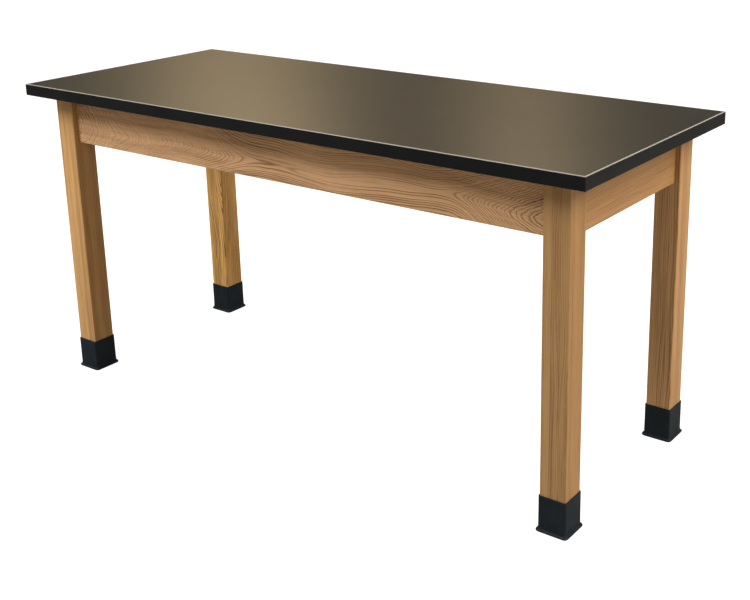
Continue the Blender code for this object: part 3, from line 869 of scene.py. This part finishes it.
def shoe_section():
    """(Distance out, height) pairs: down the outside, under the foot, up the bore."""
    wall = BORE_HALF + WALL
    cove_reach = SHOE_REACH - LIP_ROUND - wall
    section = arc((wall - RIM_ROUND, SHOE_HEIGHT - RIM_ROUND), RIM_ROUND, 90.0, 0.0, 3)
    for step in range(COVE_STEPS + 1):
        angle = math.pi / 2 * step / COVE_STEPS
        fall = COVE_HEIGHT * (1 - math.sin(angle))
        section.append((wall + cove_reach * (1 - math.cos(angle)), FOOT_THICKNESS + fall))
    lip = SHOE_REACH - LIP_ROUND
    section += arc((lip, FOOT_THICKNESS - LIP_ROUND), LIP_ROUND, 90.0, 0.0, 4)[1:]
    section += arc((lip, LIP_ROUND), LIP_ROUND, 0.0, -90.0, 4)
    section += [(BORE_HALF, 0.0), (BORE_HALF, SHOE_HEIGHT)]
    return section


# %% [markdown]
# Extruding the section and spinning it both leave the newest copy selected, so the
# next step goes on from there. Where the last turn meets the first section, the
# doubled points are merged, and then the faces are turned outwards.

# %% Carry the section round
MERGE_DISTANCE = 1e-6


def new_shoe():
    """A shoe round the Z axis, standing on z 0."""
    turn = BORE_HALF - BORE_ROUND
    section = shoe_section()
    shoe = new_outline([(out, -turn, height) for out, height in section + section[:1]])
    bpy.ops.mesh.select_all(action="SELECT")
    bpy.ops.mesh.remove_doubles(threshold=MERGE_DISTANCE)
    for side_x, side_y in ((1, 0), (0, 1), (-1, 0), (0, -1)):
        run = Vector((-side_y, side_x, 0.0)) * 2 * turn
        bpy.ops.mesh.extrude_region_move(TRANSFORM_OT_translate={"value": run})
        middle = (turn * (side_x - side_y), turn * (side_x + side_y), 0.0)
        bpy.ops.mesh.spin(
            steps=CORNER_STEPS, angle=-math.pi / 2, center=middle, axis=(0.0, 0.0, 1.0)
        )
    bpy.ops.mesh.select_all(action="SELECT")
    bpy.ops.mesh.remove_doubles(threshold=MERGE_DISTANCE)
    bpy.ops.mesh.normals_make_consistent(inside=False)
    bpy.ops.object.mode_set(mode="OBJECT")
    return shoe


pattern_shoe = new_shoe()
for corner in CORNERS:
    shoe = copy_of(pattern_shoe)
    shoe.location = (*corner_place(corner), 0.0)
    body = f"shoe_{corner}"
    finish_piece(shoe, f"rubber_shoe_{corner}", rubber_black, body, "black_rubber", body)
print("shoe faces:", len(pattern_shoe.data.polygons))
bpy.data.objects.remove(pattern_shoe, do_unlink=True)

# %% [markdown]
# ## Screw threads
#
# The solid model keeps its screws plain. A thread is a zigzag one pitch long, carried
# round the axis while it climbs by that pitch, which is just what the Screw modifier
# does. The sleeve of thread lies on the plain shank. A section drawn upwards gives
# faces that look inwards, so the modifier turns them round.

# %% Screw threads
THREAD_STEPS = 20
THREAD_LIFT = 0.00003
THREAD_MERGE = 0.00002


def new_thread(radius, depth, pitch, length):
    """A threaded sleeve along Z, from z 0 upwards, on a shank of this radius."""
    root = radius + THREAD_LIFT
    thread = new_outline([(root, 0.0, 0.0), (root + depth, 0.0, pitch / 2), (root, 0.0, pitch)])
    bpy.ops.object.mode_set(mode="OBJECT")
    turn = thread.modifiers.new("climb", "SCREW")
    turn.axis = "Z"
    turn.angle = math.tau
    turn.screw_offset = pitch
    turn.iterations = max(1, round(length / pitch) - 1)
    turn.steps = THREAD_STEPS
    turn.render_steps = THREAD_STEPS
    turn.use_merge_vertices = True
    turn.merge_threshold = THREAD_MERGE
    turn.use_normal_flip = True
    use_modifiers(thread)
    return thread


GLIDE_PITCH = 0.0015875
GLIDE_RADIUS = 0.0047625
GLIDE_THREAD_DEPTH = 0.00018
PLAIN_END = 0.0015
for corner in CORNERS:
    low, high = (Vector(point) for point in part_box(f"glide_screw_{corner}"))
    x, y = corner_place(corner)
    shank_low = Vector(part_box(f"tee_nut_{corner}")[0]).z
    length = high.z - PLAIN_END - shank_low
    thread = new_thread(GLIDE_RADIUS, GLIDE_THREAD_DEPTH, GLIDE_PITCH, length)
    thread.location = (x, y, shank_low)
    finish_piece(
        thread, f"glide_thread_{corner}", zinc_plate, f"screw_{corner}", "zinc_plated_steel"
    )

# %% [markdown]
# The hanger bolts lie on the diagonal of each corner. The direction from the leg
# towards the bolt's free end is found from the two boxes, so the same lines serve
# all four corners.

# %% Threads on the hanger bolts
BOLT_RADIUS = 0.0040
BOLT_PITCH = 0.0014111
BOLT_THREAD_DEPTH = 0.00016
BOLT_THREAD_LENGTH = 0.0270


def diagonal(corner):
    """The level direction from a leg towards the middle of the table."""
    x, y = corner_place(corner)
    return Vector((-math.copysign(1.0, x), -math.copysign(1.0, y), 0.0)).normalized()


def lies_along(direction, place):
    """Carries a shape's +Z to a direction, and its origin to a place."""
    return Matrix.Translation(place) @ direction.to_track_quat("Z", "Y").to_matrix().to_4x4()


for corner in CORNERS:
    inward = diagonal(corner)
    for level in ("upper", "lower"):
        low, high = (Vector(point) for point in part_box(f"hanger_bolt_{level}_{corner}"))
        middle = (low + high) / 2
        half_span = (high.x - low.x) / 2 - BOLT_RADIUS / math.sqrt(2)
        tip = middle + inward * (half_span * math.sqrt(2))
        thread = new_thread(BOLT_RADIUS, BOLT_THREAD_DEPTH, BOLT_PITCH, BOLT_THREAD_LENGTH)
        thread.matrix_world = lies_along(inward, tip - inward * BOLT_THREAD_LENGTH)
        finish_piece(
            thread, f"bolt_thread_{level}_{corner}", zinc_plate, "table", "zinc_plated_steel"
        )

# %% [markdown]
# ## Wood screws
#
# Pan-head screws hold the wings of the brackets to the aprons, and one holds each
# clip to the worktop. A head is a short cylinder with its upper rim rounded and a
# cross pressed into it. The cross is cut by two thin blocks, one turned across the
# other.

# %% Wood screw
HEAD_RADIUS = 0.0042
HEAD_HEIGHT = 0.0022
HEAD_ROUND = 0.00121
HEAD_SIDES = 24
SLOT_LENGTH = 0.00462
SLOT_WIDTH = 0.0011
SLOT_DEPTH = 0.0011


def new_screw_head():
    """A pan head on z 0, facing +Z, with a cross recess."""
    clear_selection()
    bpy.ops.mesh.primitive_cylinder_add(
        vertices=HEAD_SIDES, radius=HEAD_RADIUS, depth=HEAD_HEIGHT,
        location=(0.0, 0.0, HEAD_HEIGHT / 2),
    )
    head = bpy.context.object
    bpy.ops.object.transform_apply(location=True, rotation=True, scale=True)
    bpy.ops.object.mode_set(mode="EDIT")
    pick_edges(head, lambda a, b: min(a.z, b.z) > HEAD_HEIGHT - TOLERANCE)
    bpy.ops.mesh.bevel(offset=HEAD_ROUND, segments=3, affect="EDGES")
    bpy.ops.object.mode_set(mode="OBJECT")
    for turn in (0.0, 90.0):
        bpy.ops.mesh.primitive_cube_add(size=1.0, location=(0.0, 0.0, HEAD_HEIGHT))
        slot = bpy.context.object
        slot.scale = (SLOT_LENGTH, SLOT_WIDTH, SLOT_DEPTH * 2)
        slot.rotation_euler.z = math.radians(turn)
        cut = head.modifiers.new("slot", "BOOLEAN")
        cut.operation = "DIFFERENCE"
        cut.object = slot
        use_modifiers(head)
        bpy.data.objects.remove(slot, do_unlink=True)
    return head


pattern_head = new_screw_head()


def add_screw(name, place, direction):
    """A copy of the screw head at a place, facing a direction."""
    head = copy_of(pattern_head)
    head.matrix_world = lies_along(Vector(direction), Vector(place))
    finish_piece(head, name, zinc_plate, "table", "zinc_plated_steel")


# %% [markdown]
# Each wing of a bracket takes two screws, one above the other, half way along the
# flat part of the wing. A clip takes one in the middle of its foot, from below.

# %% Place the wood screws
WING_FROM_TIP = 0.0150
SCREW_RISE = 0.0240
BRACKET_PLATE = 0.0025
PLATE_FACE = SEAT_GAP + BRACKET_PLATE
screws = 0
for corner in CORNERS:
    low, high = (Vector(point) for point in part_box(f"corner_bracket_{corner}"))
    middle = (low + high) / 2
    inward = diagonal(corner)
    to_x, to_y = math.copysign(1.0, inward.x), math.copysign(1.0, inward.y)
    tip_x = high.x if to_x > 0 else low.x
    tip_y = high.y if to_y > 0 else low.y
    front_side, end_side = ("front" if to_y > 0 else "back"), ("left" if to_x > 0 else "right")
    long_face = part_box(f"apron_{front_side}")[1 if to_y > 0 else 0][1]
    short_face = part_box(f"apron_{end_side}")[1 if to_x > 0 else 0][0]
    for rise in (-SCREW_RISE, SCREW_RISE):
        height = middle.z + rise
        add_screw(
            f"wing_screw_long_{corner}_{'high' if rise > 0 else 'low'}",
            (tip_x - to_x * WING_FROM_TIP, long_face + to_y * PLATE_FACE, height),
            (0.0, to_y, 0.0),
        )
        add_screw(
            f"wing_screw_short_{corner}_{'high' if rise > 0 else 'low'}",
            (short_face + to_x * PLATE_FACE, tip_y - to_y * WING_FROM_TIP, height),
            (to_x, 0.0, 0.0),
        )
        screws += 2
CLIP_PLATE = 0.0020
FOOT_MIDDLE = 0.0100
for name in sorted(nodes):
    if not name.startswith("top_clip_"):
        continue
    low, high = (Vector(point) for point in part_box(name))
    middle = (low + high) / 2
    side = name.split("_")[2]
    foot = Vector(middle)
    if side in ("front", "back"):
        foot.y = high.y - FOOT_MIDDLE if side == "front" else low.y + FOOT_MIDDLE
    else:
        foot.x = high.x - FOOT_MIDDLE if side == "left" else low.x + FOOT_MIDDLE
    foot.z = high.z - CLIP_PLATE
    add_screw(f"clip_screw_{side}_{name.split('_')[3]}", foot, (0.0, 0.0, -1.0))
    screws += 1
bpy.data.objects.remove(pattern_head, do_unlink=True)
print("wood screws:", screws)

# %% [markdown]
# ## Floor and background
#
# The picture has a white ground. The floor is a pale matt surface with a little light
# of its own for the camera alone, so it comes out white away from the table and still
# takes the soft shadow under it. Other rays see the plain matt floor.

# %% Floor
FLOOR_SIZE = 60.0
FLOOR_DROP = 0.0005
FLOOR_GLOW = 0.89
FLOOR_TINT = (0.34, 0.310, 0.262, 1.0)
clear_selection()
bpy.ops.mesh.primitive_plane_add(size=FLOOR_SIZE, location=(0.0, 0.0, -FLOOR_DROP))
floor = bpy.context.object
floor.name = "studio_floor"
floor_paint, tree, shader = new_material("floor_paint", roughness=0.9, specular_ior_level=0.1)
shader.inputs["Base Color"].default_value = FLOOR_TINT
seen = put(tree, "LightPath")
lift = sum_of(tree, "MULTIPLY", seen.outputs["Is Camera Ray"], FLOOR_GLOW)
shader.inputs["Emission Color"].default_value = WHITE
feed(tree, shader.inputs["Emission Strength"], lift)
floor.data.materials.append(floor_paint)

# %% [markdown]
# The world is white to the camera. To everything else it is a soft dome, brighter
# overhead and dim near the ground, as in a room with a lit ceiling.
#
# A worktop seen at a low angle is a mirror for what stands behind it near the
# horizon. In the photograph that is a warm wall with two brighter stretches, and they
# give the black laminate its olive glow. The dome has the same two stretches: each is
# a smooth bump round one compass direction, and fades out overhead. They are listed as
# (bearing in degrees, half width in degrees, strength). Heights in the sky go from 0
# at the horizon to 1 overhead.

# %% World
GLOWS = ((45.7, 7.2, 3.50), (31.3, 4.9, 2.20))
GLOW_TINT = (1.0, 0.74, 0.40)
GLOW_RISES = (0.19, 0.34)
GLOW_SINKS = (0.50, 0.75)
HORIZON_TINT = (1.0, 0.84, 0.56, 1.0)
HORIZON_LEVEL = 0.08
CEILING_LEVEL = 0.80
world = bpy.data.worlds.new("studio_dome")
bpy.context.scene.world = world
world.use_nodes = True
tree = world.node_tree
backdrop = tree.nodes["Background"]
direction = put(tree, "TexCoord")
split = put(tree, "SeparateXYZ")
feed(tree, split.inputs[0], direction.outputs["Generated"])
west = sum_of(tree, "MULTIPLY", split.outputs["X"], -1.0)
bearing = sum_of(tree, "ARCTAN2", west, split.outputs["Y"])
climbing = fade(tree, split.outputs["Z"], *GLOW_RISES)
sinking = fade(tree, split.outputs["Z"], *GLOW_SINKS, 1.0, 0.0)
low_down = sum_of(tree, "MULTIPLY", climbing, sinking)
glow = 0.0
for degrees, width, level in GLOWS:
    away = sum_of(tree, "ABSOLUTE", sum_of(tree, "SUBTRACT", bearing, math.radians(degrees)))
    bump = fade(tree, away, 0.0, math.radians(width), level, 0.0)
    glow = sum_of(tree, "ADD", bump, glow)
glow = sum_of(tree, "MULTIPLY", glow, low_down)
ceiling = fade(tree, split.outputs["Z"], 0.25, 0.90, HORIZON_LEVEL, CEILING_LEVEL)
lit = blend_colour(tree, fade(tree, split.outputs["Z"], 0.1, 0.6), HORIZON_TINT, WHITE)
scaled = put(tree, "VectorMath", operation="SCALE")
feed(tree, scaled.inputs[0], lit)
feed(tree, scaled.inputs["Scale"], ceiling)
warmth = put(tree, "VectorMath", operation="SCALE")
warmth.inputs[0].default_value = GLOW_TINT
feed(tree, warmth.inputs["Scale"], glow)
dome = put(tree, "VectorMath", operation="ADD")
feed(tree, dome.inputs[0], scaled.outputs["Vector"])
feed(tree, dome.inputs[1], warmth.outputs["Vector"])
seen = put(tree, "LightPath")
shown = blend_colour(tree, seen.outputs["Is Camera Ray"], dome.outputs["Vector"], WHITE)
feed(tree, backdrop.inputs["Color"], shown)
backdrop.inputs["Strength"].default_value = 1.0

# %% [markdown]
# ## Lights
#
# Two large softboxes light the wood. The one on the right makes the right faces the
# brightest. The other hangs near the left end, above the viewer's eye: the left legs
# get more of it than the right ones, and the worktop's edge throws a soft shadow on
# the upper part of the apron. A low, warm and distant one on the right reaches under
# the worktop, to the legs that stand in its shade.

# %% Lights


def add_softbox(name, place, target, size, power, tint=(1.0, 1.0, 1.0)):
    """A rectangular lamp that faces a target and isn't itself in the picture."""
    lamp = bpy.data.lights.new(name, "AREA")
    lamp.shape = "RECTANGLE"
    lamp.size, lamp.size_y = size
    lamp.energy = power
    lamp.color = tint
    box = bpy.data.objects.new(name, lamp)
    bpy.context.collection.objects.link(box)
    facing = (Vector(target) - Vector(place)).to_track_quat("-Z", "Y")
    box.matrix_world = Matrix.Translation(place) @ facing.to_matrix().to_4x4()
    box.visible_camera = False


add_softbox(
    "softbox_right", (3.2, 0.6, 3.2), target=(0.2, 0.0, 0.4),
    size=(2.0, 2.0), power=188.0, tint=(1.0, 0.98, 0.95),
)
add_softbox(
    "softbox_left", (-1.5, -2.0, 3.0), target=(-0.4, -0.2, 0.4), size=(1.4, 1.4), power=132.0
)
add_softbox(
    "low_fill", (8.0, -1.0, 1.2), target=(0.0, 0.0, 0.4),
    size=(3.0, 1.5), power=180.0, tint=(1.0, 0.91, 0.71),
)

# %% [markdown]
# ## Camera
#
# The photograph was taken from the front right, and its verticals are nearly straight,
# as a view camera keeps them by sliding the lens. The lens shift below does part of
# that: a larger one would push the table out of the picture from other sides. The
# place and the angles are the ones at which the two outlines overlap most.

# %% Camera
IMAGE_WIDTH = 750
IMAGE_HEIGHT = 600
FOCAL_PIXELS = 1165.6
AXIS_X, AXIS_Y = 455.0, 183.0
CAMERA_PLACE = Vector((1.6630, -1.9794, 1.2646))
YAW, PITCH, ROLL = 0.60941, -0.27692, -0.0087
SENSOR = 36.0

lens = bpy.data.cameras.new("photo_camera")
lens.sensor_width = SENSOR
lens.lens = FOCAL_PIXELS / IMAGE_WIDTH * SENSOR
lens.shift_x = (IMAGE_WIDTH / 2 - AXIS_X) / IMAGE_WIDTH
lens.shift_y = (AXIS_Y - IMAGE_HEIGHT / 2) / IMAGE_WIDTH
camera = bpy.data.objects.new("photo_camera", lens)
bpy.context.collection.objects.link(camera)
flat = math.cos(PITCH)
ahead = Vector((-math.sin(YAW) * flat, math.cos(YAW) * flat, math.sin(PITCH)))
level = Vector((math.cos(YAW), math.sin(YAW), 0.0))
above = level.cross(ahead)
right = level * math.cos(ROLL) + above * math.sin(ROLL)
up = above * math.cos(ROLL) - level * math.sin(ROLL)
turned = Matrix((right, up, -ahead)).transposed().to_4x4()
camera.matrix_world = Matrix.Translation(CAMERA_PLACE) @ turned
bpy.context.scene.camera = camera
bpy.context.scene.view_settings.view_transform = "Standard"
